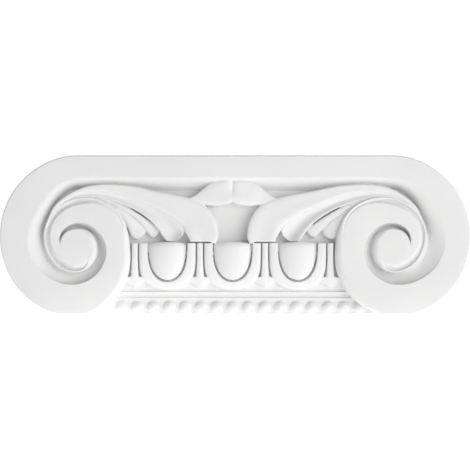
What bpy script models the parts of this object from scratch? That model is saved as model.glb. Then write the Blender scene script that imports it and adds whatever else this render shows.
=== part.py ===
"""Ionic pilaster capital, cast in one piece: a long slab with half-round ends, two volutes,
half palmettes, an egg-and-dart echinus and a row of beads.

The front faces -Y, the flat back is at +Y and the underside is at z = 0. Sizes are in millimetres.
"""

import math

import bmesh
import bpy

MM = 0.001

# Slab
EYE_SPAN = 241.4  # between the centres of the two volute eyes
EYE_HEIGHT = 51.5
TOTAL_HEIGHT = 121.4
FACE_DEPTH = 45.0  # from the flat back to the faces of the rim and the volutes
FIELD_SINK = 11.5  # from those faces down to the sunk field between the volutes
RIM_WIDTH = 17.0
RIM_SLOPE_WIDTH = 10.0

# Volutes: radii from the eye at every eighth of a turn, from straight up and outwards
EIGHTH = 45.0
BAND_OUTER = (TOTAL_HEIGHT - EYE_HEIGHT, 65.4, 58.9, 55.2, 53.0, 48.2, 42.2, 42.0, 37.5, 31.4, 24.9, 21.4,
              19.7, 17.6, 15.6, 14.8, 14.0, 14.2, 13.2, 12.4, 11.4, 10.4, 9.4, 8.4, 7.4, 6.6, 6.0)
BAND_INNER = (TOTAL_HEIGHT - RIM_WIDTH - EYE_HEIGHT, 44.2, 39.2, 32.8, 28.6, 24.7, 21.8, 19.4, 19.0, 17.2,
              13.8)
CHANNEL_DEPTH = (FIELD_SINK, 9.4, 5.4, 6.6, 9.4, 9.4, 9.2, 9.2, 9.4, 9.2, 0.0)
CHANNEL_SHARE = (0.56, 0.96, 0.9, 0.92, 0.95, 0.95, 0.95, 0.9, 0.72, 0.72, 0.9)  # of its width, the slope
CHANNEL_CRISP = (0.0, 0.0, 0.0, 0.4, 0.8, 0.7, 0.5, 0.3, 0.0, 0.0, 0.0)  # 0 a plain slope, 1 a quarter round
CHANNEL_POWER = (2.2, 2.6, 1.2, 1.3, 1.2, 1.1, 1.1, 1.2, 1.3, 1.3, 1.3)  # of the plain slope
RIM_POWER = 1.15
EDGE_ROUND = 0.8
SIDE_ROUND = (EDGE_ROUND, EDGE_ROUND, EDGE_ROUND, EDGE_ROUND, 1.2, 6.6, 5.4, 1.8, EDGE_ROUND, EDGE_ROUND,
              EDGE_ROUND, EDGE_ROUND, EDGE_ROUND, 4.6, 5.4, 3.8, 1.2, 0.4, 0.0)
STALK_SHOWS = (0, 0, 0, 0, 0, 0, 0, 0.7, 1, 1, 1, 1, 0.8, 0.2, 0, 0, 0, 0, 0)
STALK_BEVEL = (1, 1, 1, 1, 1, 1, 1, 0.9, 2.6, 2.4, 2.5, 3.4, 4.4, 4.2, 4.5, 2.0, 1, 1, 1)
STALK_FALL = 0.25  # of the stalk below the face, for each millimetre of its bevel
STALK_GROOVE = 0.95  # of the groove below the stalk, likewise
STALK_WIDTH = 1.5
BAND_TURN = 450.0  # where the channel runs out beside the eye
EYE_TURN = 810.0  # where the band closes on itself as the eye

# Carving between the volutes
CARVING_SHIFT = -1.9  # the carved middle sits this far from the middle of the slab
CHANNEL_SHIFT = 1.2  # the right channel runs this much further from its eye, the left one this much less
ECHINUS_TOP = 55.2
ECHINUS_FOOT = 19.4
ECHINUS_END = 27.0  # from a volute eye to where the echinus ends inside the volute
BASE_END = 2.0
EGG_PITCH = 50.0
EGG_COUNT = 3
EGG_HALF_WIDTH = 14.7
EGG_HEIGHT = 29.1
EGG_BULGE = 7.0
EGG_ARCH = 1.2
SHELL_HALF_WIDTH = 21.8
SHELL_HEIGHT = 36.2
SHELL_GAP = 0.6
SHELL_TOP = ECHINUS_TOP - 0.8
DART_TIP = 20.6
DART_HEAD_TOP = 28.8
DART_HEAD_HALF_WIDTH = 9.4
DART_SHAFT_HALF_WIDTH = 2.3
DART_FLARE_HALF_WIDTH = 3.0
DART_FLARE_RISE = 4.0
DART_HEAD_STEPS = (0.9, 2.4, 4.4, 6.2)
DART_HEAD_SHARES = (0.75, 1.0, 0.9, 0.5)
DART_HEAD_FALLS = (1.0, 1.5, 1.8, 1.2)
BEAD_COUNT = 19
BEAD_PITCH = 12.2
BEAD_RADIUS = 5.95
BEAD_HEIGHT = 5.2
BEAD_FOOT = 4.0

# Depths below the face of the rim
ECHINUS_SINK = 10.4
ECHINUS_LEAN = 0.6
SHELL_SINK = 3.2
SHELL_LEAN = 5.0
EGG_SINK = 0.4
EGG_LEAN = 5.6
BEAD_SINK = 9.0
BED_DEPTH = FACE_DEPTH - FIELD_SINK - 4.0  # the carving's bodies reach back to here, inside the slab

# Front of the mouldings under the echinus, from the underside up, as (below the face, height)
BASE_PROFILE = ((12.4, 0.0), (12.4, 10.5), (11.3, 11.0), (10.7, 11.5), (10.7, 12.1), (11.4, 12.7),
                (12.0, 13.2), (12.0, 15.4), (11.3, 15.9), (10.4, 16.2), (10.4, 16.9), (11.6, 17.3),
                (12.4, 17.7), (12.4, 20.4))

# Half palmettes: each lobe's midline as (share of the way from the eye to the middle, share of the way up
# to the rim, half width, depth below the face)
LOBES = {
    "upper": ((-0.195, -0.078, 0.6, 2.8), (-0.212, 0.157, 0.8, 1.4), (-0.179, 0.408, 0.9, 0.6),
              (-0.125, 0.612, 1.2, 0.2), (0.0, 0.8, 1.4, 0.1), (0.146, 0.857, 2.3, 0.2),
              (0.325, 0.812, 3.8, 0.6), (0.501, 0.689, 6.0, 1.0), (0.642, 0.58, 8.9, 1.2),
              (0.753, 0.445, 11.8, 1.0), (0.797, 0.293, 12.4, 0.6), (0.815, 0.168, 11.2, 0.4)),
    "second": ((-0.190, -0.038, 0.5, 3.4), (-0.202, 0.215, 0.7, 2.4), (-0.158, 0.462, 0.9, 1.6),
               (-0.100, 0.629, 1.2, 1.0), (0.0, 0.747, 1.6, 0.8), (0.146, 0.756, 2.5, 0.8),
               (0.278, 0.694, 3.5, 1.2), (0.412, 0.58, 4.7, 1.6), (0.54, 0.42, 7.2, 1.8),
               (0.622, 0.21, 8.6, 2.2)),
    "third": ((-0.199, 0.212, 0.5, 3.8), (-0.158, 0.462, 0.8, 3.0), (0.0, 0.694, 0.9, 2.4),
              (0.146, 0.683, 0.95, 2.4), (0.232, 0.623, 1.05, 2.8), (0.327, 0.524, 1.5, 3.2),
              (0.415, 0.39, 2.3, 4.0), (0.496, 0.21, 4.8, 5.8)),
    "lowest": ((-0.198, 0.261, 0.5, 4.0), (-0.150, 0.489, 0.7, 3.2), (0.0, 0.684, 1.0, 2.4),
               (0.146, 0.655, 0.9, 3.0), (0.239, 0.56, 1.2, 3.2), (0.306, 0.45, 2.7, 3.8),
               (0.35, 0.34, 4.6, 4.4), (0.39, 0.21, 6.2, 5.4)),
}
# How each lobe is shaped: hollow at its start and its end, fall of its edges and length of its round end
# (the last two for each millimetre of its half width), and squareness of that end
LOBE_FORM = {"upper": (0.0, 1.6, 0.17, 0.85, 2.5), "second": (0.0, 5.0, 0.24, 0.8, 2.6),
             "third": (0.0, 0.8, 0.5, 0.8, 2.2), "lowest": (0.0, 0.8, 0.4, 0.8, 2.4)}
BUD = ((0.69, 0.665, 1.0, 2.8), (0.736, 0.68, 1.8, 2.6), (0.78, 0.697, 3.8, 2.4), (0.825, 0.72, 6.4, 2.0),
       (0.87, 0.75, 8.6, 1.2), (0.914, 0.775, 9.3, 0.8), (0.959, 0.795, 9.2, 0.3),
       (0.995, 0.82, 8.0, 0.5), (1.02, 0.83, 7.2, 2.8))
BUD_FORM = (0.0, 1.6, 0.15, 0.0, 2.0)
LOBE_REST = ECHINUS_TOP - 0.2  # the lobes end flat at this height
LOBE_SQUASH = 0.03  # of what would reach below it
TIP_HANG = 2.0  # the upper lobes' tips reach this much lower
TIP_REACH = 17.0  # from the carved middle to where they begin to
TIP_EASE = 4.0

# Fineness
TURN_STEP = 9.0
STRAIGHT_STEPS = 6
LOBE_STATIONS = 10
LOBE_ARC = 6
TIP_STATIONS = 4
SHELL_STEPS = 18
BEAD_RINGS = 6
BEAD_ARC = 5


def spline(values, place):
    """Smooth curve through evenly spaced values, level at its start; place counts their steps."""
    k = min(max(int(math.floor(place)), 0), len(values) - 2)
    t = place - k
    a = values[k - 1] if k > 0 else values[1]
    b = values[k]
    c = values[k + 1]
    d = values[min(k + 2, len(values) - 1)]
    bend = (2 * a - 5 * b + 4 * c - d) * t ** 2 + (3 * b - a - 3 * c + d) * t ** 3
    return b + 0.5 * ((c - a) * t + bend)


def steady(values, place):
    """Eased steps between evenly spaced values, with no overshoot."""
    k = min(max(int(math.floor(place)), 0), len(values) - 2)
    t = min(max(place - k, 0.0), 1.0)
    return values[k] + (values[k + 1] - values[k]) * t * t * (3 - 2 * t)


def at(x, z, depth):
    """Blender's point for a place on the front: x across, z up, depth out from the flat back."""
    return (x * MM, (FACE_DEPTH / 2 - depth) * MM, z * MM)


def mesh_object(name, points, faces, collection):
    mesh = bpy.data.meshes.new(name)
    mesh.from_pydata(points, [], faces)
    work = bmesh.new()
    work.from_mesh(mesh)
    bmesh.ops.remove_doubles(work, verts=work.verts, dist=1e-6)
    bmesh.ops.recalc_face_normals(work, faces=work.faces)
    work.to_mesh(mesh)
    work.free()
    mesh.shade_smooth()
    mesh.set_sharp_from_angle(angle=math.radians(35))
    made = bpy.data.objects.new(name, mesh)
    collection.objects.link(made)
    return made


def loft(name, loops, collection):
    """Closed solid through loops of equally many points, capped at both ends."""
    count = len(loops[0])
    points = [point for loop in loops for point in loop]
    faces = []
    for row in range(len(loops) - 1):
        for i in range(count):
            j = (i + 1) % count
            faces.append((row * count + i, row * count + j, (row + 1) * count + j, (row + 1) * count + i))
    faces.append(tuple(range(count)))
    faces.append(tuple((len(loops) - 1) * count + i for i in range(count)))
    return mesh_object(name, points, faces, collection)


# Slab and volutes

def edge_profile(turn):
    """Outer edge of the band as (inwards, below the face): a round edge, or the stalk and its bevel."""
    place = turn / EIGHTH
    r = steady(SIDE_ROUND, place)
    swell = min(max(r - EDGE_ROUND, 0.0), 1.0)
    plain = []
    for k in range(4):
        a = math.pi / 6 * k
        inwards = k / 3 + (1 - math.cos(a) - k / 3) * swell
        below = 1 - k / 3 + (k / 3 - math.sin(a)) * swell
        plain.append((r * inwards, r * below))
    plain += [(r + 0.8 * k, 0.0) for k in (1, 2)]
    bevel = steady(STALK_BEVEL, place)
    low = STALK_FALL * bevel
    stalk = [(0.0, low + 0.8), (0.3, low + 0.2), (0.9, low), (STALK_WIDTH, low)]
    stalk += [(STALK_WIDTH + 0.5, low + STALK_GROOVE * bevel), (STALK_WIDTH + 0.5 + bevel * 1.2, 0.0)]
    w = steady(STALK_SHOWS, place)
    return [(p[0] + (s[0] - p[0]) * w, p[1] + (s[1] - p[1]) * w) for p, s in zip(plain, stalk)]


def cove(q, power, crisp):
    """Share of the channel's depth at q of its slope, between a plain slope and a quarter round."""
    quarter = math.sqrt(max(0.0, 1 - (1 - q) ** 2))
    return q ** power * (1 - crisp) + quarter * crisp


def channel_profile(start, foot, depth, share, power, crisp):
    """From the face's inner edge at start to the channel's foot, as (distance, below the face)."""
    points = [(start, 0.0)]
    for q in (0.2, 0.45, 0.7, 1.0):
        points.append((start + (foot - start) * share * q, depth * cove(q, power, crisp)))
    points.append((foot, depth))
    return points


def spiral_section(side, turn):
    """One radial cut through the band and its channel, as (radius, below the face)."""
    place = turn / EIGHTH
    outer = spline(BAND_OUTER, place)
    across = math.sin(math.radians(turn)) ** 2
    if 180 < turn < 360:
        outer -= side * CARVING_SHIFT * across
    edge = [(outer - s, below) for s, below in edge_profile(turn)]
    foot = spline(BAND_OUTER, place + 8)
    if turn >= BAND_TURN:
        last = edge[-1][0]
        return edge + channel_profile(last - 0.2 * (last - foot), foot, 0.0, 0.9, 1.0, 0.0)
    inner = spline(BAND_INNER, place)
    if turn < 180:
        inner += side * CHANNEL_SHIFT * across
    power = steady(CHANNEL_POWER, place)
    crisp = steady(CHANNEL_CRISP, place)
    share = steady(CHANNEL_SHARE, place)
    foot = foot + 0.5 * min(1.0, steady(CHANNEL_DEPTH, place) / 3)
    return edge + channel_profile(inner, foot, steady(CHANNEL_DEPTH, place), share, power, crisp)


def straight_section(x):
    """One upright cut through the top rim and the field, as (height, below the face)."""
    eye_x = EYE_SPAN / 2
    start = spiral_section(1, 0.0)
    near = min(max((abs(x) - 0.75 * eye_x) / (0.25 * eye_x), 0.0), 1.0) ** 2
    section = []
    rim = [(TOTAL_HEIGHT - s, below) for s, below in edge_profile(0.0)]
    rim_foot = TOTAL_HEIGHT - RIM_WIDTH
    field_edge = EYE_HEIGHT + start[-1][0]
    share = RIM_SLOPE_WIDTH / (rim_foot - field_edge)
    rim += channel_profile(rim_foot, field_edge, FIELD_SINK, share, RIM_POWER, 0.0)
    for (height, below), (radius, below_start) in zip(rim, start):
        section.append((height + (EYE_HEIGHT + radius - height) * near, below + (below_start - below) * near))
    return section


def build_slab(collection):
    """The whole slab as one closed surface: rim, volutes, sunk field, sides and back."""
    eye_x = EYE_SPAN / 2
    points = []
    faces = []

    def add(x, z, below):
        points.append(at(x, max(z, 0.0), FACE_DEPTH - below))
        return len(points) - 1

    def add_back(index):
        x, _, z = points[index]
        points.append((x, FACE_DEPTH / 2 * MM, z))
        return len(points) - 1

    def add_floor(index):
        x, _, z = points[index]
        points.append((x, (FIELD_SINK - FACE_DEPTH / 2) * MM, z))
        return len(points) - 1

    turns = int(round(EYE_TURN / TURN_STEP))
    per_turn = int(round(360 / TURN_STEP))
    open_turns = int(round(BAND_TURN / TURN_STEP))
    half_turn = per_turn // 2
    sides = {}
    for side in (-1, 1):
        rows = []
        for k in range(turns + 1):
            turn = k * TURN_STEP
            a = math.radians(turn)
            row = []
            for radius, below in spiral_section(side, turn):
                x = side * (eye_x + radius * math.sin(a))
                row.append(add(x, EYE_HEIGHT + radius * math.cos(a), below))
            rows.append(row)
        rows[open_turns][-1] = rows[turns][0]
        edge = len(edge_profile(0.0)) - 1
        for k in range(turns):
            for i in range(len(rows[0]) - 1 if k < open_turns else edge):
                faces.append((rows[k][i], rows[k][i + 1], rows[k + 1][i + 1], rows[k + 1][i]))
        for k in range(open_turns):
            top = rows[k + per_turn][0]
            top_next = rows[k + per_turn + 1][0]
            faces.append((rows[k][-1], rows[k + 1][-1], top_next, top))
        eye = [rows[k][edge] for k in range(open_turns, turns + 1)] + rows[turns][edge - 1:0:-1]
        faces.append(eye + rows[open_turns][:edge:-1])
        sides[side] = rows

    # Top rim from one volute to the other
    rim = [sides[-1][0]]
    for k in range(1, 2 * STRAIGHT_STEPS):
        x = eye_x * (k / STRAIGHT_STEPS - 1)
        rim.append([add(x, height, below) for height, below in straight_section(x)])
    rim.append(sides[1][0])
    for k in range(len(rim) - 1):
        for i in range(len(rim[0]) - 1):
            faces.append((rim[k][i], rim[k][i + 1], rim[k + 1][i + 1], rim[k + 1][i]))

    # Walls of the volutes down to the sunk field, and of the slab down to its back
    feet = {}
    outline = {}
    for side in (-1, 1):
        rows = sides[side]
        feet[side] = [add_floor(rows[k][0]) for k in range(half_turn, per_turn)] + [rows[0][-1]]
        for n in range(half_turn):
            k = half_turn + n
            faces.append((rows[k][0], rows[k + 1][0], feet[side][n + 1], feet[side][n]))
        outline[side] = [add_back(rows[k][0]) for k in range(half_turn + 1)]
        for k in range(half_turn):
            wall = [rows[k][0], rows[k + 1][0], outline[side][k + 1], outline[side][k]]
            if k == half_turn - 1:
                wall.insert(2, feet[side][0])
            faces.append(wall)
    top = [outline[-1][0]] + [add_back(row[0]) for row in rim[1:-1]] + [outline[1][0]]
    for k in range(len(rim) - 1):
        faces.append((rim[k][0], rim[k + 1][0], top[k + 1], top[k]))
    faces.append((feet[-1][0], feet[1][0], outline[1][-1], outline[-1][-1]))
    faces.append(feet[-1] + [row[-1] for row in rim[1:-1]] + feet[1][::-1])
    faces.append(outline[-1][::-1] + top[1:-1] + outline[1])
    return mesh_object("ionic_capital", points, faces, collection)


# Mouldings under the field

def carved_depth(height, sink, lean):
    """Depth of an ovolo's front at a height: fullest near the top, falling back to its foot."""
    t = min(max((ECHINUS_TOP - height) / (ECHINUS_TOP - ECHINUS_FOOT), 0.0), 1.0)
    return FACE_DEPTH - sink - lean * t ** 2.2


def run_profile(name, half_length, profile, collection):
    """Straight moulding: a profile of (depth, height) run from end to end."""
    loops = [[at(x, height, depth) for depth, height in profile] for x in (-half_length, half_length)]
    return loft(name, loops, collection)


def build_mouldings(collection):
    steps = 6
    heights = [ECHINUS_TOP - (ECHINUS_TOP - ECHINUS_FOOT) * k / steps for k in range(steps + 1)]
    ovolo = [(carved_depth(h, ECHINUS_SINK, ECHINUS_LEAN), h) for h in heights]
    ovolo += [(BED_DEPTH, ECHINUS_FOOT - 0.5), (BED_DEPTH, ECHINUS_TOP)]
    run_profile("echinus", EYE_SPAN / 2 - ECHINUS_END, ovolo, collection)
    base = [(FACE_DEPTH - below, height) for below, height in BASE_PROFILE]
    base = [(BED_DEPTH, base[0][1])] + base + [(BED_DEPTH, base[-1][1])]
    run_profile("base_moulding", EYE_SPAN / 2 - BASE_END, base, collection)


def build_beads(collection):
    for k in range(BEAD_COUNT):
        x = CARVING_SHIFT + (k - (BEAD_COUNT - 1) / 2) * BEAD_PITCH
        middle = FACE_DEPTH - BEAD_SINK - BEAD_RADIUS
        loops = []
        for i in range(BEAD_RINGS + 1):
            a = math.pi * max(min(i / BEAD_RINGS, 0.97), 0.03)
            radius = BEAD_RADIUS * math.sin(a)
            loop = []
            for j in range(BEAD_ARC + 1):
                b = math.pi * j / BEAD_ARC
                height = max(0.0, BEAD_HEIGHT + radius * math.cos(b))
                loop.append(at(x - BEAD_RADIUS * math.cos(a), height, middle + radius * math.sin(b)))
            loop.append(at(x - BEAD_RADIUS * math.cos(a), max(0.0, BEAD_HEIGHT - radius), middle - BEAD_FOOT))
            loop.append(at(x - BEAD_RADIUS * math.cos(a), BEAD_HEIGHT + radius, middle - BEAD_FOOT))
            loops.append(loop)
        loft(f"bead_{k + 1}", loops, collection)


# Egg and dart

def egg_width(t):
    return EGG_HALF_WIDTH * math.sqrt(max(0.0, 1 - t ** 2.9))


def build_egg(x, name, collection):
    loops = []
    for t in (0.0, 0.08, 0.22, 0.38, 0.54, 0.68, 0.8, 0.89, 0.955, 0.99, 0.999):
        height = ECHINUS_TOP - EGG_HEIGHT * t
        width = egg_width(t)
        crest = carved_depth(height, EGG_SINK, EGG_LEAN) - EGG_ARCH * (max(0.0, 0.15 - t) / 0.15) ** 2
        bulge = EGG_BULGE * math.sqrt(max(0.0, 1 - t ** 2.6))
        loop = []
        for k in range(9):
            a = math.pi * k / 8
            arch = EGG_ARCH * math.cos(a) ** 2 * max(0.0, 1 - t / 0.2)
            loop.append(at(x + width * math.cos(a), height - arch, crest - bulge * (1 - math.sin(a))))
        loop += [at(x - width, height, BED_DEPTH), at(x + width, height, BED_DEPTH)]
        loops.append(loop)
    return loft(name, loops, collection)


def build_shell(x, name, collection):
    """The raised border that runs down one side of an egg, under it and up the other side."""
    loops = []
    for k in range(SHELL_STEPS + 1):
        a = math.pi * k / SHELL_STEPS
        t = min(math.sin(a) ** 0.8, 1.0)
        side = math.copysign(1.0, math.cos(a)) if k != SHELL_STEPS // 2 else 0.0
        inner_x = side * (SHELL_GAP + egg_width(t))
        inner_z = SHELL_TOP - (EGG_HEIGHT + SHELL_GAP) * t
        outer_x = side * SHELL_HALF_WIDTH * math.sqrt(max(0.0, 1 - t ** 4.85))
        outer_z = SHELL_TOP - SHELL_HEIGHT * t
        loop = [at(x + inner_x, inner_z, BED_DEPTH)]
        for s, below in ((0.0, 0.8), (0.12, 0.1), (0.5, 0.0), (0.85, 0.4), (1.0, 1.4)):
            height = inner_z + (outer_z - inner_z) * s
            loop.append(at(x + inner_x + (outer_x - inner_x) * s, height,
                           carved_depth(height, SHELL_SINK, SHELL_LEAN) - below))
        loop.append(at(x + outer_x, outer_z, BED_DEPTH))
        loops.append(loop)
    return loft(name, loops, collection)


def build_dart(x, name, collection):
    """Dart between two shells: a slim shaft with a pointed head, as (height, half width, fall)."""
    shaft = DART_SHAFT_HALF_WIDTH
    flare = DART_FLARE_HALF_WIDTH
    head = DART_HEAD_HALF_WIDTH
    top = DART_HEAD_TOP
    outline = [(SHELL_TOP, shaft, 0.6), ((SHELL_TOP + top) / 2, shaft, 0.6)]
    outline += [(top + DART_FLARE_RISE, (shaft + flare) / 2, 0.7), (top, flare, 0.8)]
    for step, share, fall in zip(DART_HEAD_STEPS, DART_HEAD_SHARES, DART_HEAD_FALLS):
        outline.append((top - step, share * head, fall))
    outline.append((DART_TIP, 0.15, 0.4))
    loops = []
    for height, width, fall in outline:
        crest = carved_depth(height, SHELL_SINK + 0.3, SHELL_LEAN)
        loop = [at(x - width, height, BED_DEPTH)]
        loop += [at(x + width * s, height, crest - fall * below)
                 for s, below in ((-1.0, 1.0), (-0.6, 0.3), (0.0, 0.0), (0.6, 0.3), (1.0, 1.0))]
        loop.append(at(x + width, height, BED_DEPTH))
        loops.append(loop)
    return loft(name, loops, collection)


def build_echinus_carving(collection):
    for k in range(EGG_COUNT):
        x = CARVING_SHIFT + (k - (EGG_COUNT - 1) / 2) * EGG_PITCH
        build_egg(x, f"egg_{k + 1}", collection)
        build_shell(x, f"shell_{k + 1}", collection)
    for k in range(EGG_COUNT + 1):
        build_dart(CARVING_SHIFT + (k - EGG_COUNT / 2) * EGG_PITCH, f"dart_{k + 1}", collection)


# Half palmettes and buds

def carved_place(side, across, up):
    """Place of a palmette's point: the shift of the carved middle fades out towards the volutes."""
    x = side * EYE_SPAN / 2 * (1 - across)
    fade = min(max((across - 0.15) / 0.6, 0.0), 1.0)
    shift = CARVING_SHIFT * fade * fade * (3 - 2 * fade)
    return x + shift, EYE_HEIGHT + (TOTAL_HEIGHT - RIM_WIDTH - EYE_HEIGHT) * up


def build_lobe(side, rows, form, name, collection):
    """Curved leaf lobe: a domed, hollowed strip along its midline with a round tip, sunk into the slab."""
    hollow_start, hollow_end, edge_fall, tip_length, square = form
    columns = list(zip(*rows))
    stations = []
    for k in range(LOBE_STATIONS + 1):
        place = (len(rows) - 1) * k / LOBE_STATIONS
        stations.append([spline(column, place) for column in columns])
    mids = [carved_place(side, s[0], s[1]) for s in stations]
    last = len(mids) - 1
    loops = []

    def place(middle, ahead, offset, depth):
        x = middle[0] - ahead[1] * offset
        height = middle[1] + ahead[0] * offset
        hang = min(max((TIP_REACH - abs(x - CARVING_SHIFT)) / TIP_EASE, 0.0), 1.0)
        rest = LOBE_REST - TIP_HANG * hang
        if height < rest:
            height = rest - (rest - height) * LOBE_SQUASH
        return at(x, height, depth)

    def add_loop(middle, ahead, half, below, crown, dip):
        loop = []
        for k in range(LOBE_ARC + 1):
            a = math.pi * k / LOBE_ARC
            s = math.cos(a)
            depth = FACE_DEPTH - below - crown * (1 - math.sin(a)) - dip * (1 - s * s) ** 2
            loop.append(place(middle, ahead, half * s, depth))
        for s in (-1, 1):
            loop.append(place(middle, ahead, half * s, BED_DEPTH))
        loops.append(loop)

    for k, (_, _, half, below) in enumerate(stations):
        a = mids[max(k - 1, 0)]
        b = mids[min(k + 1, last)]
        length = math.hypot(b[0] - a[0], b[1] - a[1])
        ahead = ((b[0] - a[0]) / length, (b[1] - a[1]) / length)
        crown = edge_fall * (half + 2.5)
        hollow = hollow_start + (hollow_end - hollow_start) * (k / last) ** 2
        add_loop(mids[k], ahead, half, below, crown, hollow)
    if tip_length > 0:
        for k in range(1, TIP_STATIONS + 1):
            along = min(math.sin(math.pi / 2 * k / TIP_STATIONS), 0.999)
            reach = tip_length * half * along
            middle = (mids[-1][0] + ahead[0] * reach, mids[-1][1] + ahead[1] * reach)
            left = (1 - along ** square) ** (1 / square)
            add_loop(middle, ahead, half * left, below + crown * (1 - left), crown * left, hollow * left ** 2)
    return loft(name, loops, collection)


def build_palmettes(collection):
    for side, word in ((-1, "left"), (1, "right")):
        for lobe, rows in LOBES.items():
            build_lobe(side, rows, LOBE_FORM[lobe], f"{lobe}_lobe_{word}", collection)
        build_lobe(side, BUD, BUD_FORM, f"bud_{word}", collection)


def cast_material():
    material = bpy.data.materials.new("white_primer")
    material.use_nodes = True
    shader = material.node_tree.nodes["Principled BSDF"]
    shader.inputs["Base Color"].default_value = (0.83, 0.83, 0.825, 1.0)
    shader.inputs["Roughness"].default_value = 0.6
    shader.inputs["Metallic"].default_value = 0.0
    return material


def main():
    for item in list(bpy.data.objects):
        bpy.data.objects.remove(item, do_unlink=True)
    scene = bpy.context.scene
    carving = bpy.data.collections.new("carving")
    scene.collection.children.link(carving)
    capital = build_slab(scene.collection)
    build_mouldings(carving)
    build_beads(carving)
    build_echinus_carving(carving)
    build_palmettes(carving)
    for helper in carving.objects:
        helper.hide_render = True
        helper.display_type = "WIRE"
    join = capital.modifiers.new("carving", "BOOLEAN")
    join.operation = "UNION"
    join.operand_type = "COLLECTION"
    join.collection = carving
    join.solver = "EXACT"
    capital.data.materials.append(cast_material())


main()
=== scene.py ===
import math

import bmesh
import bpy
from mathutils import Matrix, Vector


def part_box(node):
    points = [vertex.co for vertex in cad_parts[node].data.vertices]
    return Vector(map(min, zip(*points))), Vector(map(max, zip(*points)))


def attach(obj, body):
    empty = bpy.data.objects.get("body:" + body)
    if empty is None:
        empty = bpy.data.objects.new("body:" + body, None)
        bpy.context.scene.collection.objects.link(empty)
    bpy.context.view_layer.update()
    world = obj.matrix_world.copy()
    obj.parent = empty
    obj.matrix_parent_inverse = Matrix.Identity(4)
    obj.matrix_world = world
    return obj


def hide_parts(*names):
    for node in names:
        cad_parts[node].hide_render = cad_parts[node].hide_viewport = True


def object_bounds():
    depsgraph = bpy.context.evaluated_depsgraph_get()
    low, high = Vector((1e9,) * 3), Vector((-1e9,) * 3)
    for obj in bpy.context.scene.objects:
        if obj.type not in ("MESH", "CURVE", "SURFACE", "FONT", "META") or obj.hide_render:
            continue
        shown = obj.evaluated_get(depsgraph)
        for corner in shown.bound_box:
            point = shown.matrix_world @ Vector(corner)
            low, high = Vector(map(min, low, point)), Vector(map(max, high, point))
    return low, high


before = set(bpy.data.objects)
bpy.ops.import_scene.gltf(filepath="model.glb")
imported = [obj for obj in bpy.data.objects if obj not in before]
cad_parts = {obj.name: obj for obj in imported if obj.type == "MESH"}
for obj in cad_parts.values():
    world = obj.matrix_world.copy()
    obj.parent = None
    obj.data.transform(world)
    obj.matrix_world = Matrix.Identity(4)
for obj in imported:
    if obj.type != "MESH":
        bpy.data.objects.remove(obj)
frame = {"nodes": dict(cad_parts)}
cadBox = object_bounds()
mm = 0.001
nodeLow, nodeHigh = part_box("ionic_capital")
print("frame loaded:", ", ".join(frame["nodes"]))


# Helpers for smooth values and closed meshes

def splineAt(values, place):
    # smooth curve through evenly spaced values, level at its start
    k = min(max(int(math.floor(place)), 0), len(values) - 2)
    t = place - k
    before = values[k - 1] if k > 0 else values[1]
    here, there = values[k], values[k + 1]
    after = values[min(k + 2, len(values) - 1)]
    bend = (2 * before - 5 * here + 4 * there - after) * t ** 2
    bend += (3 * here - before - 3 * there + after) * t ** 3
    return here + 0.5 * ((there - before) * t + bend)


def easeAt(values, place):
    # eased steps between evenly spaced values
    k = min(max(int(math.floor(place)), 0), len(values) - 2)
    t = min(max(place - k, 0.0), 1.0)
    return values[k] + (values[k + 1] - values[k]) * t * t * (3 - 2 * t)


def ramp(value, start, end):
    t = min(max((value - start) / (end - start), 0.0), 1.0)
    return t * t * (3 - 2 * t)


slab = {  # millimetres; depths are counted from the flat back, height and depth come from the CAD box
    "eyeSpan": 241.4,
    "eyeHeight": 51.5,
    "height": nodeHigh.z / mm,
    "faceDepth": (nodeHigh.y - nodeLow.y) / mm,
    "fieldSink": 11.5,
    "bedSink": 15.5,
    "rimWidth": 17.0,
    "rimSlopeWidth": 10.0,
    "joinStart": 0.75,  # from this share of the way to an eye the rim takes on the volute's section
    "rimSteps": 48,
    "turnStep": 2.5,
    "bandTurn": 450.0,
    "eyeTurn": 810.0,
}
backY = nodeHigh.y
bed = slab["faceDepth"] - slab["bedSink"]  # the carving's bodies reach back to here, inside the slab


def spot(x, z, depth):
    # a place on the front, in metres: x across, z up, depth out from the flat back
    return (x * mm, backY - depth * mm, z * mm)


def solidFrom(name, points, faces):
    mesh = bpy.data.meshes.new(name)
    mesh.from_pydata(points, [], faces)
    work = bmesh.new()
    work.from_mesh(mesh)
    bmesh.ops.remove_doubles(work, verts=work.verts, dist=1e-6)
    bmesh.ops.recalc_face_normals(work, faces=work.faces)
    work.to_mesh(mesh)
    work.free()
    made = bpy.data.objects.new(name, mesh)
    bpy.context.scene.collection.objects.link(made)
    return made


def loftSolid(name, loops):
    # closed solid through loops of equally many points, capped at both ends
    count = len(loops[0])
    points = [point for loop in loops for point in loop]
    faces = []
    for row in range(len(loops) - 1):
        for i in range(count):
            j = (i + 1) % count
            faces.append((row * count + i, row * count + j, (row + 1) * count + j, (row + 1) * count + i))
    faces.append(tuple(range(count)))
    faces.append(tuple((len(loops) - 1) * count + i for i in range(count)))
    return solidFrom(name, points, faces)


# Slab and volutes

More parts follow.
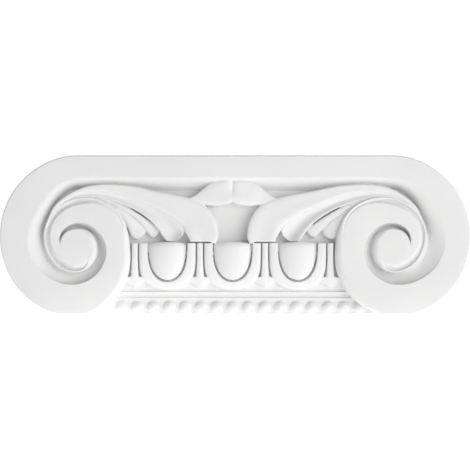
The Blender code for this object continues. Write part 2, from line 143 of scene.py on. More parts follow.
eighth = 45.0  # degrees
edgeRound = 0.8
volute = {  # radii from the eye at every eighth of a turn, from straight up and outwards
    "bandOuter": (slab["height"] - slab["eyeHeight"], 65.4, 58.9, 55.2, 53.0, 48.2, 42.2, 42.0, 37.5,
                  31.4, 24.9, 21.4, 19.7, 17.6, 15.6, 14.8, 14.0, 14.2, 13.2, 12.4, 11.4, 10.4, 9.4,
                  8.4, 7.4, 6.6, 6.0),
    "bandInner": (slab["height"] - slab["rimWidth"] - slab["eyeHeight"], 44.2, 39.2, 32.8, 28.6, 24.7, 21.8,
                  19.4, 19.0, 17.2, 13.8),
    "channelDepth": (slab["fieldSink"], 9.4, 5.4, 6.6, 9.4, 9.4, 9.2, 9.2, 9.4, 9.2, 0.0),
    "channelShare": (0.56, 0.96, 0.9, 0.92, 0.95, 0.95, 0.95, 0.9, 0.72, 0.72, 0.9),  # slope, of the width
    "channelCrisp": (0.0, 0.0, 0.0, 0.4, 0.8, 0.7, 0.5, 0.3, 0.0, 0.0, 0.0),  # 0 a slope, 1 a quarter round
    "channelPower": (2.2, 2.6, 1.2, 1.3, 1.2, 1.1, 1.1, 1.2, 1.3, 1.3, 1.3),  # of the plain slope
    "rimPower": 1.15,
    "channelShift": 1.2,  # further out on the right, less far on the left
    "sideRound": (edgeRound, edgeRound, edgeRound, edgeRound, 1.2, 6.6, 5.4, 1.8, edgeRound, edgeRound,
                  edgeRound, edgeRound, edgeRound, 4.6, 5.4, 3.8, 1.2, 0.4, 0.0),
    "stalkShows": (0, 0, 0, 0, 0, 0, 0, 0.7, 1, 1, 1, 1, 0.6, 0, 0, 0, 0, 0, 0),
    "stalkBevel": (1, 1, 1, 1, 1, 1, 1, 0.9, 2.6, 2.4, 2.5, 3.4, 4.4, 4.2, 4.5, 2.0, 1, 1, 1),
    "stalkLip": ((0.0, 0.9), (0.1, 0.45), (0.25, 0.15), (0.5, 0.0), (0.75, -0.05), (1.1, 0.0)),
    "stalkLipEnd": 0.2,
    "stalkFall": 0.25,
    "stalkWidth": 1.5,
    "stalkStep": 0.4,
    "stalkGroove": 0.95,
    "bevelReach": (0.7, 1.4),  # of the bevel's size, halfway up and at the face
    "bevelHalfway": 0.56,
    "channelSteps": 16,
    "edgeSteps": 6,
    "edgeFlat": 0.5,
    "footGap": 0.5,  # between the channel's foot and the stalk, where the channel is this deep or more
    "footGapDepth": 3.0,
    "plainStart": 0.2,  # past the channel's end the band runs plain up to the eye
    "plainShare": 0.9,
}


def edgeProfile(turn):
    # outer edge of the band as (inwards, below the face): a round edge, or the stalk's fillet and bevel
    place = turn / eighth
    r = easeAt(volute["sideRound"], place)
    steps = volute["edgeSteps"]
    plain = []
    for k in range(steps + 1):
        a = math.pi / 2 * k / steps
        plain.append((r * (1 - math.cos(a)), r * (1 - math.sin(a))))
    plain += [(r + volute["edgeFlat"] * k, 0.0) for k in (1, 2, 3)]
    bevel = easeAt(volute["stalkBevel"], place)
    low = volute["stalkFall"] * bevel
    stalk = [(inwards, low + below) for inwards, below in volute["stalkLip"]]
    groove = volute["stalkWidth"] + volute["stalkStep"]
    deep = low + volute["stalkGroove"] * bevel
    stalk += [(volute["stalkWidth"], low + volute["stalkLipEnd"]), (groove, deep)]
    halfway, whole = volute["bevelReach"]
    stalk += [(groove + bevel * halfway, deep * volute["bevelHalfway"]), (groove + bevel * whole, 0.0)]
    shows = easeAt(volute["stalkShows"], place)
    return [(p[0] + (s[0] - p[0]) * shows, p[1] + (s[1] - p[1]) * shows) for p, s in zip(plain, stalk)]


def channelProfile(start, foot, depth, share, power, crisp):
    # from the face's inner edge to the channel's foot, as (distance, below the face)
    points = [(start, 0.0)]
    steps = volute["channelSteps"]
    for k in range(1, steps + 1):
        q = k / steps
        quarter = math.sqrt(max(0.0, 1 - (1 - q) ** 2))
        fall = q ** power * (1 - crisp) + quarter * crisp
        points.append((start + (foot - start) * share * q, depth * fall))
    points.append((foot, depth))
    return points


def spiralSection(side, turn):
    # one radial cut through the band and its channel, as (radius, below the face)
    place = turn / eighth
    outer = splineAt(volute["bandOuter"], place)
    across = math.sin(math.radians(turn)) ** 2
    if 180 < turn < 360:
        outer -= side * course["shift"] * across
    edge = [(outer - s, below) for s, below in edgeProfile(turn)]
    foot = splineAt(volute["bandOuter"], place + 360 / eighth)
    if turn >= slab["bandTurn"]:
        last = edge[-1][0]
        start = last - volute["plainStart"] * (last - foot)
        return edge + channelProfile(start, foot, 0.0, volute["plainShare"], 1.0, 0.0)
    inner = splineAt(volute["bandInner"], place)
    if turn < 180:
        inner += side * volute["channelShift"] * across
    depth = easeAt(volute["channelDepth"], place)
    power = easeAt(volute["channelPower"], place)
    crisp = easeAt(volute["channelCrisp"], place)
    share = easeAt(volute["channelShare"], place)
    foot += volute["footGap"] * min(1.0, depth / volute["footGapDepth"])
    return edge + channelProfile(inner, foot, depth, share, power, crisp)


def straightSection(x):
    # one upright cut through the top rim and the sunk field, as (height, below the face)
    eyeX = slab["eyeSpan"] / 2
    start = spiralSection(1, 0.0)
    low = slab["eyeHeight"] + start[-1][0]
    rimFoot = slab["height"] - slab["rimWidth"]
    join = slab["joinStart"]
    near = min(max((abs(x) / eyeX - join) / (1 - join), 0.0), 1.0) ** 2
    rim = [(slab["height"] - s, below) for s, below in edgeProfile(0.0)]
    share = slab["rimSlopeWidth"] / (rimFoot - low)
    rim += channelProfile(rimFoot, low, slab["fieldSink"], share, volute["rimPower"], 0.0)
    section = []
    for (height, below), (radius, belowStart) in zip(rim, start):
        ahead = slab["eyeHeight"] + radius
        section.append((height + (ahead - height) * near, below + (belowStart - below) * near))
    return section


def makeSlab():
    eyeX = slab["eyeSpan"] / 2
    eyeZ = slab["eyeHeight"]
    points = []
    faces = []

    def add(x, z, below):
        points.append(spot(x, max(z, 0.0), slab["faceDepth"] - below))
        return len(points) - 1

    def addBehind(index, depth):
        x, _, z = points[index]
        points.append((x, backY - depth * mm, z))
        return len(points) - 1

    turns = round(slab["eyeTurn"] / slab["turnStep"])
    perTurn = round(360 / slab["turnStep"])
    openTurns = round(slab["bandTurn"] / slab["turnStep"])
    halfTurn = perTurn // 2
    sides = {}
    for side in (-1, 1):
        rows = []
        for k in range(turns + 1):
            a = math.radians(k * slab["turnStep"])
            row = []
            for radius, below in spiralSection(side, k * slab["turnStep"]):
                row.append(add(side * (eyeX + radius * math.sin(a)), eyeZ + radius * math.cos(a), below))
            rows.append(row)
        rows[openTurns][-1] = rows[turns][0]
        for k in range(turns):
            for i in range(len(rows[0]) - 1):
                faces.append((rows[k][i], rows[k][i + 1], rows[k + 1][i + 1], rows[k + 1][i]))
        for k in range(openTurns):
            faces.append((rows[k][-1], rows[k + 1][-1], rows[k + perTurn + 1][0], rows[k + perTurn][0]))
        faces.append([rows[k][-1] for k in range(openTurns, turns + 1)] + rows[turns][-2:0:-1])
        sides[side] = rows

    rim = [sides[-1][0]]  # from one volute to the other
    for k in range(1, slab["rimSteps"]):
        x = eyeX * (2 * k / slab["rimSteps"] - 1)
        rim.append([add(x, height, below) for height, below in straightSection(x)])
    rim.append(sides[1][0])
    for k in range(len(rim) - 1):
        for i in range(len(rim[0]) - 1):
            faces.append((rim[k][i], rim[k][i + 1], rim[k + 1][i + 1], rim[k + 1][i]))

    field = slab["faceDepth"] - slab["fieldSink"]
    feet = {}  # walls down to the sunk field, and outside down to the back
    outline = {}
    for side in (-1, 1):
        rows = sides[side]
        feet[side] = [addBehind(rows[k][0], field) for k in range(halfTurn, perTurn)] + [rows[0][-1]]
        for n in range(halfTurn):
            k = halfTurn + n
            faces.append((rows[k][0], rows[k + 1][0], feet[side][n + 1], feet[side][n]))
        outline[side] = [addBehind(rows[k][0], 0.0) for k in range(halfTurn + 1)]
        for k in range(halfTurn):
            wall = [rows[k][0], rows[k + 1][0], outline[side][k + 1], outline[side][k]]
            if k == halfTurn - 1:
                wall.insert(2, feet[side][0])
            faces.append(wall)
    top = [outline[-1][0]] + [addBehind(row[0], 0.0) for row in rim[1:-1]] + [outline[1][0]]
    for k in range(len(rim) - 1):
        faces.append((rim[k][0], rim[k + 1][0], top[k + 1], top[k]))
    faces.append((feet[-1][0], feet[1][0], outline[1][-1], outline[-1][-1]))
    faces.append(feet[-1] + [row[-1] for row in rim[1:-1]] + feet[1][::-1])
    faces.append(outline[-1][::-1] + top[1:-1] + outline[1])
    return solidFrom("slab", points, faces)


# Mouldings under the field

moulding = {
    "echinusTop": 55.2,
    "shellTop": 54.4,
    "echinusFoot": 19.4,
    "echinusSink": 10.4,
    "echinusLean": 0.6,
    "echinusPower": 2.2,
    "echinusHang": 0.5,
    "echinusInset": 27.0,  # from the eyes to the course's hidden ends
    "echinusSteps": 16,
    "baseInset": 2.0,
    "baseProfile": ((12.4, 0.0), (12.4, 10.5), (11.9, 10.8), (11.2, 11.1), (10.7, 11.5), (10.6, 11.8),
                    (10.7, 12.1), (11.4, 12.6), (12.0, 13.2), (12.0, 15.4), (11.6, 15.8), (10.7, 16.0),
                    (10.4, 16.3), (10.4, 16.8), (10.7, 17.1), (11.8, 17.4), (12.4, 17.8), (12.4, 20.4)),
}


def carvedDepth(height, sink, lean):
    # front of the echinus at a height: fullest near its top, falling back to its foot
    span = moulding["echinusTop"] - moulding["echinusFoot"]
    t = min(max((moulding["echinusTop"] - height) / span, 0.0), 1.0)
    return slab["faceDepth"] - sink - lean * t ** moulding["echinusPower"]


def makeMouldings():
    top, foot = moulding["echinusTop"], moulding["echinusFoot"]
    steps = moulding["echinusSteps"]
    heights = [top - (top - foot) * k / steps for k in range(steps + 1)]
    echinus = [(carvedDepth(h, moulding["echinusSink"], moulding["echinusLean"]), h) for h in heights]
    echinus += [(bed, foot - moulding["echinusHang"]), (bed, top)]
    half = slab["eyeSpan"] / 2 - moulding["echinusInset"]
    runs = [loftSolid("echinus", [[spot(x, h, d) for d, h in echinus] for x in (-half, half)])]
    base = [(slab["faceDepth"] - below, height) for below, height in moulding["baseProfile"]]
    base = [(bed, base[0][1])] + base + [(bed, base[-1][1])]
    half = slab["eyeSpan"] / 2 - moulding["baseInset"]
    runs.append(loftSolid("base", [[spot(x, h, d) for d, h in base] for x in (-half, half)]))
    return runs


# What repeats along the front: beads, eggs, shells and darts, each a row made by one tree

course = {
    "shift": -1.9,
    "eggPitch": 50.0,
    "eggCount": 3,
    "eggHalfWidth": 14.7,
    "eggHeight": 29.1,
    "eggPower": 2.9,
    "eggTip": 0.9995,
    "eggArch": 1.2,  # the egg's top edge is arched, over these shares of its height
    "eggArchRound": 0.15,
    "eggArchFade": 0.2,
    "eggBulge": 7.0,
    "eggBulgePower": 2.6,
    "eggSink": 0.4,
    "eggLean": 5.6,
    "eggSteps": 30,
    "eggArc": 24,
    "shellHalfWidth": 21.8,
    "shellHeight": 36.2,
    "shellPower": 4.85,
    "shellEase": 0.8,  # below 1 brings the steps closer together at the foot
    "shellGap": 0.6,
    "shellSink": 3.2,
    "shellLean": 5.0,
    "shellInnerFall": 0.8,  # the rounding of both edges: its depth, where it ends or starts, and its power
    "shellInnerEnd": 0.12,
    "shellOuterFall": 1.4,
    "shellOuterStart": 0.5,
    "shellOuterPower": 2.4,
    "shellSteps": 72,
    "shellAcross": 12,
    "dartSink": 3.5,
    "dartShaftHalfWidth": 2.3,
    "dartShaftFall": 0.6,
    "dartShaftStep": 7.0,
    "dartFlareHalfWidth": 3.0,
    "dartFlareRise": 4.0,
    "dartFlareFalls": (0.7, 0.8),
    "dartHeadTop": 28.8,
    "dartHeadHalfWidth": 9.4,
    "dartHeadSteps": (0.9, 2.4, 4.4, 6.2),  # down from the head's top
    "dartHeadShares": (0.75, 1.0, 0.9, 0.5),
    "dartHeadFalls": (1.0, 1.5, 1.8, 1.2),
    "dartTip": (20.6, 0.15, 0.4),
    "dartAcross": 10,
    "beadPitch": 12.2,
    "beadCount": 19,
    "beadRadius": 5.95,
    "beadHeight": 5.2,
    "beadSink": 9.0,
    "beadFoot": 4.0,
    "beadPole": 0.01,
    "beadRings": 18,
    "beadArc": 16,
}


def rowTree():
    # repeats one unit along X, with the row's middle at Middle
    tree = bpy.data.node_groups.new("unitRow", "GeometryNodeTree")
    face = tree.interface
    face.new_socket("Geometry", in_out="INPUT", socket_type="NodeSocketGeometry")
    face.new_socket("Unit", in_out="INPUT", socket_type="NodeSocketObject")
    face.new_socket("Count", in_out="INPUT", socket_type="NodeSocketInt")
    face.new_socket("Pitch", in_out="INPUT", socket_type="NodeSocketFloat")
    face.new_socket("Middle", in_out="INPUT", socket_type="NodeSocketVector")
    face.new_socket("Finish", in_out="INPUT", socket_type="NodeSocketMaterial")
    face.new_socket("Geometry", in_out="OUTPUT", socket_type="NodeSocketGeometry")
    nodes, links = tree.nodes, tree.links
    given = nodes.new("NodeGroupInput")
    result = nodes.new("NodeGroupOutput")
    unit = nodes.new("GeometryNodeObjectInfo")
    links.new(given.outputs["Unit"], unit.inputs["Object"])
    oneLess = nodes.new("ShaderNodeMath")
    oneLess.operation = "SUBTRACT"
    oneLess.inputs[1].default_value = 1.0
    links.new(given.outputs["Count"], oneLess.inputs[0])
    reach = nodes.new("ShaderNodeMath")
    reach.operation = "MULTIPLY"
    links.new(oneLess.outputs[0], reach.inputs[0])
    links.new(given.outputs["Pitch"], reach.inputs[1])
    backHalf = nodes.new("ShaderNodeMath")
    backHalf.operation = "MULTIPLY"
    backHalf.inputs[1].default_value = -0.5
    links.new(reach.outputs[0], backHalf.inputs[0])
    startX = nodes.new("ShaderNodeCombineXYZ")
    links.new(backHalf.outputs[0], startX.inputs["X"])
    start = nodes.new("ShaderNodeVectorMath")
    links.new(startX.outputs[0], start.inputs[0])
    links.new(given.outputs["Middle"], start.inputs[1])
    step = nodes.new("ShaderNodeCombineXYZ")
    links.new(given.outputs["Pitch"], step.inputs["X"])
    line = nodes.new("GeometryNodeMeshLine")
    links.new(given.outputs["Count"], line.inputs["Count"])
    links.new(start.outputs[0], line.inputs["Start Location"])
    links.new(step.outputs[0], line.inputs["Offset"])
    copies = nodes.new("GeometryNodeInstanceOnPoints")
    links.new(line.outputs[0], copies.inputs["Points"])
    links.new(unit.outputs["Geometry"], copies.inputs["Instance"])
    whole = nodes.new("GeometryNodeRealizeInstances")
    links.new(copies.outputs[0], whole.inputs[0])
    finish = nodes.new("GeometryNodeSetMaterial")
    links.new(whole.outputs[0], finish.inputs["Geometry"])
    links.new(given.outputs["Finish"], finish.inputs["Material"])
    links.new(finish.outputs[0], result.inputs[0])
    return tree


def plainMesh(source, name):
    # the evaluated mesh as an object of its own, with its source removed
    bpy.context.view_layer.update()
    graph = bpy.context.evaluated_depsgraph_get()
    mesh = bpy.data.meshes.new_from_object(source.evaluated_get(graph), depsgraph=graph)
    mesh.name = name
    made = bpy.data.objects.new(name, mesh)
    bpy.context.scene.collection.objects.link(made)
    bpy.data.objects.remove(source, do_unlink=True)
    return made


def makeRow(name, unit, count, pitch, tree, finish):
    holder = bpy.data.objects.new(name + "Holder", bpy.data.meshes.new(name + "Holder"))
    bpy.context.scene.collection.objects.link(holder)
    row = holder.modifiers.new("row", "NODES")
    row.node_group = tree
    values = {"Unit": unit, "Count": count, "Pitch": pitch * mm, "Finish": finish,
              "Middle": (course["shift"] * mm, 0.0, 0.0)}
    for socket in tree.interface.items_tree:
        if socket.in_out == "INPUT" and socket.name in values:
            row[socket.identifier] = values[socket.name]
    made = plainMesh(holder, name)
    bpy.data.objects.remove(unit, do_unlink=True)
    return made


def beadUnit():
    radius, arc, rings = course["beadRadius"], course["beadArc"], course["beadRings"]
    pole, foot = course["beadPole"], course["beadFoot"]
    middle = slab["faceDepth"] - course["beadSink"] - radius
    loops = []
    for i in range(rings + 1):
        a = math.pi * max(min(i / rings, 1 - pole), pole)
        wide = radius * math.sin(a)
        x = -radius * math.cos(a)
        loop = []
        for j in range(arc + 1):
            b = math.pi * j / arc
            height = max(0.0, course["beadHeight"] + wide * math.cos(b))
            loop.append(spot(x, height, middle + wide * math.sin(b)))
        loop.append(spot(x, max(0.0, course["beadHeight"] - wide), middle - foot))
        loop.append(spot(x, course["beadHeight"] + wide, middle - foot))
        loops.append(loop)
    return loftSolid("bead", loops)


def eggWidth(t):
    return course["eggHalfWidth"] * math.sqrt(max(0.0, 1 - t ** course["eggPower"]))


def eggUnit():
    loops = []
    steps, arc = course["eggSteps"], course["eggArc"]
    roundEnd = course["eggArchRound"]
    for i in range(steps + 1):
        t = min(math.sin(math.pi / 2 * i / steps), course["eggTip"])
        height = moulding["echinusTop"] - course["eggHeight"] * t
        width = eggWidth(t)
        crest = carvedDepth(height, course["eggSink"], course["eggLean"])
        crest -= course["eggArch"] * (max(0.0, roundEnd - t) / roundEnd) ** 2
        bulge = course["eggBulge"] * math.sqrt(max(0.0, 1 - t ** course["eggBulgePower"]))
        loop = []
        for k in range(arc + 1):
            a = math.pi * k / arc
            arch = course["eggArch"] * math.cos(a) ** 2 * max(0.0, 1 - t / course["eggArchFade"])
            loop.append(spot(width * math.cos(a), height - arch, crest - bulge * (1 - math.sin(a))))
        loop += [spot(-width, height, bed), spot(width, height, bed)]
        loops.append(loop)
    return loftSolid("egg", loops)


def shellFall(s):
    # how far the shell's front falls back, at this share of the way from its inner to its outer edge
    inner = course["shellInnerFall"] * max(0.0, 1 - s / course["shellInnerEnd"]) ** 2
    outer = max(0.0, (s - course["shellOuterStart"]) / (1 - course["shellOuterStart"]))
    return inner + course["shellOuterFall"] * outer ** course["shellOuterPower"]


def shellUnit():
    # the raised border down one side of an egg, under it and up the other side
    top = moulding["shellTop"]
    loops = []
    steps, count = course["shellSteps"], course["shellAcross"]
    for k in range(steps + 1):
        a = math.pi * k / steps
        t = min(math.sin(a) ** course["shellEase"], 1.0)
        side = math.copysign(1.0, math.cos(a)) if k != steps // 2 else 0.0
        innerX = side * (course["shellGap"] + eggWidth(t))
        innerZ = top - (course["eggHeight"] + course["shellGap"]) * t
        outerX = side * course["shellHalfWidth"] * math.sqrt(max(0.0, 1 - t ** course["shellPower"]))
        outerZ = top - course["shellHeight"] * t
        loop = [spot(innerX, innerZ, bed)]
        for i in range(count + 1):
            s = i / count
            height = innerZ + (outerZ - innerZ) * s
            depth = carvedDepth(height, course["shellSink"], course["shellLean"]) - shellFall(s)
            loop.append(spot(innerX + (outerX - innerX) * s, height, depth))
        loop.append(spot(outerX, outerZ, bed))
        loops.append(loop)
    return loftSolid("shell", loops)


def dartOutline():
    # from the top down, as (height, half width, fall of the edges)
    shaft, flare = course["dartShaftHalfWidth"], course["dartFlareHalfWidth"]
    top, headTop = moulding["shellTop"], course["dartHeadTop"]
    heights = (top, top - course["dartShaftStep"], (top + headTop) / 2)
    outline = [(height, shaft, course["dartShaftFall"]) for height in heights]
    above, at = course["dartFlareFalls"]
    outline += [(headTop + course["dartFlareRise"], (shaft + flare) / 2, above), (headTop, flare, at)]
    for step, share, fall in zip(course["dartHeadSteps"], course["dartHeadShares"], course["dartHeadFalls"]):
        outline.append((headTop - step, share * course["dartHeadHalfWidth"], fall))
    return outline + [course["dartTip"]]


def dartUnit():
    loops = []
    count = course["dartAcross"]
    for height, width, fall in dartOutline():
        crest = carvedDepth(height, course["dartSink"], course["shellLean"])
        loop = [spot(-width, height, bed)]
        for k in range(count + 1):
            s = 2 * k / count - 1
            loop.append(spot(width * s, height, crest - fall * s * s))
        loop.append(spot(width, height, bed))
        loops.append(loop)
    return loftSolid("dart", loops)


def makeCourses(finish):
    tree = rowTree()
    rows = [makeRow("eggs", eggUnit(), course["eggCount"], course["eggPitch"], tree, finish)]
    rows.append(makeRow("shells", shellUnit(), course["eggCount"], course["eggPitch"], tree, finish))
    rows.append(makeRow("darts", dartUnit(), course["eggCount"] + 1, course["eggPitch"], tree, finish))
    rows.append(makeRow("beads", beadUnit(), course["beadCount"], course["beadPitch"], tree, finish))
    return rows


# Half palmettes and buds

palmette = {  # midlines: share of the way from eye to middle and of the way up to the rim, half width, depth
    "upper": ((-0.195, -0.078, 0.6, 2.8), (-0.212, 0.157, 0.8, 1.4), (-0.179, 0.408, 0.9, 0.6),
              (-0.125, 0.612, 1.2, 0.2), (0.0, 0.8, 1.4, 0.1), (0.146, 0.857, 2.3, 0.2),
              (0.325, 0.812, 3.8, 0.6), (0.501, 0.689, 6.0, 1.0), (0.642, 0.58, 8.9, 1.2),
              (0.753, 0.445, 11.8, 1.0), (0.797, 0.293, 12.4, 0.6), (0.815, 0.168, 11.2, 0.4)),
    "second": ((-0.190, -0.038, 0.5, 3.4), (-0.202, 0.215, 0.7, 2.4), (-0.158, 0.462, 0.9, 1.6),
               (-0.100, 0.629, 1.2, 1.0), (0.0, 0.747, 1.6, 0.8), (0.146, 0.756, 2.5, 0.8),
               (0.278, 0.694, 3.5, 1.2), (0.412, 0.58, 4.7, 1.6), (0.54, 0.42, 7.2, 1.8),
               (0.622, 0.21, 8.6, 2.2)),
    "third": ((-0.199, 0.212, 0.5, 3.8), (-0.158, 0.462, 0.8, 3.0), (0.0, 0.694, 0.9, 2.4),
              (0.146, 0.683, 1.5, 2.2), (0.232, 0.623, 1.6, 2.5), (0.327, 0.524, 2.0, 3.0),
              (0.415, 0.39, 2.6, 3.9), (0.496, 0.21, 4.8, 5.8)),
    "lowest": ((-0.198, 0.261, 0.5, 4.0), (-0.150, 0.489, 0.7, 3.2), (0.0, 0.684, 1.0, 2.4),
               (0.146, 0.655, 0.9, 3.0), (0.239, 0.56, 1.2, 3.2), (0.306, 0.45, 2.7, 3.8),
               (0.35, 0.34, 4.6, 4.4), (0.39, 0.21, 6.2, 5.4)),
    "bud": ((0.69, 0.665, 1.0, 2.8), (0.736, 0.68, 1.8, 2.6), (0.78, 0.697, 3.8, 2.4),
            (0.825, 0.72, 6.4, 2.0), (0.87, 0.75, 8.6, 1.2), (0.914, 0.775, 9.3, 0.8),
            (0.959, 0.795, 9.2, 0.3), (0.995, 0.82, 8.0, 0.5), (1.02, 0.83, 7.2, 2.8)),
    "form": {  # hollow at the start and the end, fall of the edges, length and squareness of the round end
        "upper": (0.0, 1.6, 0.17, 0.85, 2.5),
        "second": (0.0, 5.0, 0.24, 0.8, 2.6),
        "third": (0.0, 0.8, 0.5, 0.8, 2.2),
        "lowest": (0.0, 0.8, 0.4, 0.8, 2.4),
        "bud": (0.0, 1.6, 0.15, 0.0, 2.0),
    },
    "crownMore": 2.5,  # the fall of the edges is a share of the half width and this
    "shiftStart": 0.15,  # shares of the way to the middle between which the lobes take on its shift
    "shiftFull": 0.75,
    "rest": moulding["echinusTop"] + 0.3,  # the lobes end flat at this height
    "squash": 0.03,  # what is left of their height below it
    "tipHang": 2.0,  # the upper lobes' tips reach lower, from this far beside the middle
    "tipReach": 17.0,
    "tipEase": 4.0,
    "tipEnd": 0.999,
    "stations": 40,
    "tipStations": 12,
    "arc": 20,
}


def leafPlace(side, across, up):
    # the shift of the carved middle fades out towards the volutes
    shift = course["shift"] * ramp(across, palmette["shiftStart"], palmette["shiftFull"])
    x = side * slab["eyeSpan"] / 2 * (1 - across) + shift
    return x, slab["eyeHeight"] + (slab["height"] - slab["rimWidth"] - slab["eyeHeight"]) * up


def makeLobe(side, lobe):
    rows = palmette[lobe]
    hollowStart, hollowEnd, edgeFall, tipLength, square = palmette["form"][lobe]
    columns = list(zip(*rows))
    count = palmette["stations"]
    places = [(len(rows) - 1) * k / count for k in range(count + 1)]
    stations = [[splineAt(column, place) for column in columns] for place in places]
    mids = [leafPlace(side, s[0], s[1]) for s in stations]
    loops = []

    def place(middle, ahead, offset, depth):
        x = middle[0] - ahead[1] * offset
        height = middle[1] + ahead[0] * offset
        hang = min(max((palmette["tipReach"] - abs(x - course["shift"])) / palmette["tipEase"], 0.0), 1.0)
        rest = palmette["rest"] - palmette["tipHang"] * hang
        if height < rest:
            height = rest - (rest - height) * palmette["squash"]
        return spot(x, height, depth)

    def addLoop(middle, ahead, half, below, crown, dip):
        loop = []
        for k in range(palmette["arc"] + 1):
            a = math.pi * k / palmette["arc"]
            s = math.cos(a)
            depth = slab["faceDepth"] - below - crown * (1 - math.sin(a)) - dip * (1 - s * s) ** 2
            loop.append(place(middle, ahead, half * s, depth))
        for s in (-1, 1):
            loop.append(place(middle, ahead, half * s, bed))
        loops.append(loop)

    for k, (_, _, half, below) in enumerate(stations):
        a, b = mids[max(k - 1, 0)], mids[min(k + 1, count)]
        length = math.hypot(b[0] - a[0], b[1] - a[1])
        ahead = ((b[0] - a[0]) / length, (b[1] - a[1]) / length)
        crown = edgeFall * (half + palmette["crownMore"])
        hollow = hollowStart + (hollowEnd - hollowStart) * (k / count) ** 2
        addLoop(mids[k], ahead, half, below, crown, hollow)
    if tipLength > 0:
        for k in range(1, palmette["tipStations"] + 1):
            along = min(math.sin(math.pi / 2 * k / palmette["tipStations"]), palmette["tipEnd"])
            reach = tipLength * half * along
            middle = (mids[-1][0] + ahead[0] * reach, mids[-1][1] + ahead[1] * reach)
            left = (1 - along ** square) ** (1 / square)
            addLoop(middle, ahead, half * left, below + crown * (1 - left), crown * left, hollow * left ** 2)
    return loftSolid(lobe, loops)


def makePalmettes():
    return [makeLobe(side, lobe) for side in (-1, 1) for lobe in palmette["form"]]


# The casting: everything above as one closed skin, softened as a cast is

casting = {
    "voxel": 0.33,
    "softPasses": 3,
    "softness": 0.5,
    "triangles": 190000,
}


def makeCasting(parts, finish):
    together = bmesh.new()
    for part in parts:
        together.from_mesh(part.data)
        bpy.data.objects.remove(part, do_unlink=True)
    mesh = bpy.data.meshes.new("rough")
    together.to_mesh(mesh)
    together.free()
    rough = bpy.data.objects.new("rough", mesh)
    bpy.context.scene.collection.objects.link(rough)
    skin = rough.modifiers.new("skin", "REMESH")
    skin.mode = "VOXEL"
    skin.voxel_size = casting["voxel"] * mm
    soften = rough.modifiers.new("soften", "SMOOTH")
    soften.factor = casting["softness"]
    soften.iterations = casting["softPasses"]
    fine = plainMesh(rough, "fine")
    print("fine skin:", len(fine.data.polygons), "faces")
    thin = fine.modifiers.new("thin", "DECIMATE")
    thin.ratio = min(1.0, casting["triangles"] / (2 * len(fine.data.polygons)))
    made = plainMesh(fine, "capitalCasting")
    made.data.materials.clear()
    made.data.materials.append(finish)
    made.data.shade_smooth()
    for vertex in made.data.vertices:  # within the box of the solid
        vertex.co = [min(max(vertex.co[i], cadBox[0][i]), cadBox[1][i]) for i in range(3)]
    print("casting:", len(made.data.polygons), "faces")
    return made


# Finish

primer = {
    "tone": (0.71, 0.71, 0.707, 1.0),
    "shade": (0.67, 0.67, 0.667, 1.0),
    "roughLow": 0.48,
    "roughHigh": 0.66,
    "patchScale": 14.0,
    "patchDetail": 3.0,
    "patchStart": 0.35,
    "patchEnd": 0.85,
    "grainScale": 900.0,
    "grainDetail": 2.0,
    "grainBump": 0.05,
    "grainHeight": 0.1,
    "waveScale": 60.0,
    "waveDetail": 2.0,
    "waveBump": 0.08,
    "waveHeight": 0.5,
}


def primerFinish():
    material = bpy.data.materials.new("whitePrimer")
    material.use_nodes = True
    nodes, links = material.node_tree.nodes, material.node_tree.links
    shader = nodes["Principled BSDF"]
    where = nodes.new("ShaderNodeTexCoord")

    def noise(scale, detail):
        made = nodes.new("ShaderNodeTexNoise")
        made.inputs["Scale"].default_value = scale
        made.inputs["Detail"].default_value = detail
        links.new(where.outputs["Object"], made.inputs["Vector"])
        return made.outputs["Fac"]

    patches = noise(primer["patchScale"], primer["patchDetail"])
    grain = noise(primer["grainScale"], primer["grainDetail"])
    waves = noise(primer["waveScale"], primer["waveDetail"])
    tone = nodes.new("ShaderNodeMix")
    tone.data_type = "RGBA"
    tone.inputs["A"].default_value = primer["tone"]
    tone.inputs["B"].default_value = primer["shade"]
    spread = nodes.new("ShaderNodeMapRange")
    spread.inputs["From Min"].default_value = primer["patchStart"]
    spread.inputs["From Max"].default_value = primer["patchEnd"]
    links.new(patches, spread.inputs["Value"])
    links.new(spread.outputs["Result"], tone.inputs["Factor"])
    links.new(tone.outputs["Result"], shader.inputs["Base Color"])
    rough = nodes.new("ShaderNodeMapRange")
    rough.inputs["To Min"].default_value = primer["roughLow"]
    rough.inputs["To Max"].default_value = primer["roughHigh"]
    links.new(patches, rough.inputs["Value"])
    links.new(rough.outputs["Result"], shader.inputs["Roughness"])
    fine = nodes.new("ShaderNodeBump")
    fine.inputs["Strength"].default_value = primer["grainBump"]
    fine.inputs["Distance"].default_value = primer["grainHeight"] * mm
    links.new(grain, fine.inputs["Height"])
    slow = nodes.new("ShaderNodeBump")
    slow.inputs["Strength"].default_value = primer["waveBump"]
    slow.inputs["Distance"].default_value = primer["waveHeight"] * mm
    links.new(waves, slow.inputs["Height"])
    links.new(fine.outputs["Normal"], slow.inputs["Normal"])
    links.new(slow.outputs["Normal"], shader.inputs["Normal"])
    return material


# Studio

white = (1.0, 1.0, 1.0, 1.0)
studio = {
    "lens": 400.0,
    "sensor": 36.0,
    "photoWidth": 360.0,  # millimetres across the photo's frame, at the faces of the rim and the volutes
    "aim": 60.5,
    "clipEnd": 100.0,
    "floorHalf": 12.0,
    "floorTone": (0.9, 0.9, 0.9, 1.0),
    "floorRough": 0.9,
    "floorGlow": 0.95,
    "skyWay": (0.81, -0.33, -0.49),  # the side that is brightest: the right, the front and low
    "skyEdge": -0.3,
    "skyLow": 0.0,
    "skyHigh": 2.2,
    "keyPlace": (1.25, -1.6, 0.2),
    "keySize": 1.5,
    "keyEnergy": 13.0,
}


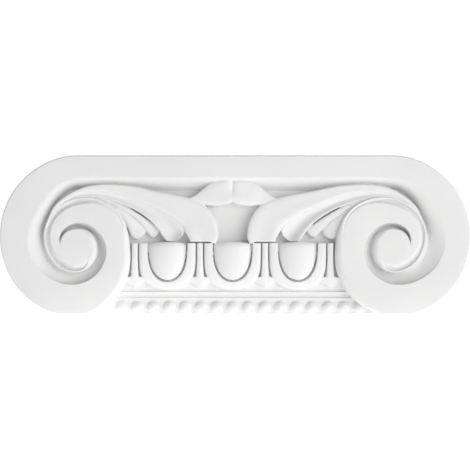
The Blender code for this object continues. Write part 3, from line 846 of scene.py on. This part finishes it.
def makeCamera():
    lens = bpy.data.cameras.new("camera")
    lens.lens = studio["lens"]
    lens.sensor_width = studio["sensor"]
    lens.clip_end = studio["clipEnd"]
    camera = bpy.data.objects.new("camera", lens)
    bpy.context.scene.collection.objects.link(camera)
    distance = studio["photoWidth"] * mm * studio["lens"] / studio["sensor"]
    camera.location = (0.0, nodeLow.y - distance, studio["aim"] * mm)
    camera.rotation_euler = (math.radians(90), 0.0, 0.0)
    bpy.context.scene.camera = camera


def makeFloor():
    half = studio["floorHalf"]
    floor = solidFrom("floor", [(-half, -half, 0), (half, -half, 0), (half, half, 0), (-half, half, 0)],
                      [(0, 1, 2, 3)])
    pale = bpy.data.materials.new("paleFloor")
    pale.use_nodes = True
    shader = pale.node_tree.nodes["Principled BSDF"]
    shader.inputs["Base Color"].default_value = studio["floorTone"]
    shader.inputs["Roughness"].default_value = studio["floorRough"]
    shader.inputs["Emission Color"].default_value = white
    shader.inputs["Emission Strength"].default_value = studio["floorGlow"]
    floor.data.materials.append(pale)


def makeSky():
    world = bpy.data.worlds.new("studio")
    bpy.context.scene.world = world
    world.use_nodes = True
    nodes, links = world.node_tree.nodes, world.node_tree.links
    nodes["Background"].inputs["Color"].default_value = white
    way = nodes.new("ShaderNodeTexCoord")
    towards = nodes.new("ShaderNodeVectorMath")
    towards.operation = "DOT_PRODUCT"
    towards.inputs[1].default_value = studio["skyWay"]
    links.new(way.outputs["Generated"], towards.inputs[0])
    sky = nodes.new("ShaderNodeMapRange")
    sky.inputs["From Min"].default_value = studio["skyEdge"]
    sky.inputs["To Min"].default_value = studio["skyLow"]
    sky.inputs["To Max"].default_value = studio["skyHigh"]
    links.new(towards.outputs["Value"], sky.inputs["Value"])
    seen = nodes.new("ShaderNodeLightPath")
    strength = nodes.new("ShaderNodeMapRange")  # plain white where it is seen
    strength.inputs["To Max"].default_value = 1.0
    links.new(sky.outputs["Result"], strength.inputs["To Min"])
    links.new(seen.outputs["Is Camera Ray"], strength.inputs["Value"])
    links.new(strength.outputs["Result"], nodes["Background"].inputs["Strength"])


def makeKey():
    light = bpy.data.lights.new("key", "AREA")
    light.shape = "DISK"
    light.size = studio["keySize"]
    light.energy = studio["keyEnergy"]
    lamp = bpy.data.objects.new("key", light)
    bpy.context.scene.collection.objects.link(lamp)
    lamp.location = studio["keyPlace"]
    aim = Vector((0.0, 0.0, studio["aim"] * mm)) - lamp.location
    lamp.rotation_euler = aim.to_track_quat("-Z", "Y").to_euler()


finish = primerFinish()
print("finish made")
parts = [makeSlab()] + makeMouldings() + makeCourses(finish) + makePalmettes()
print("parts made:", len(parts))
capitalCasting = makeCasting(parts, finish)
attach(capitalCasting, "root")
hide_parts("ionic_capital")
bpy.context.scene.view_settings.view_transform = "Standard"
makeCamera()
makeFloor()
makeSky()
makeKey()
print("studio made")
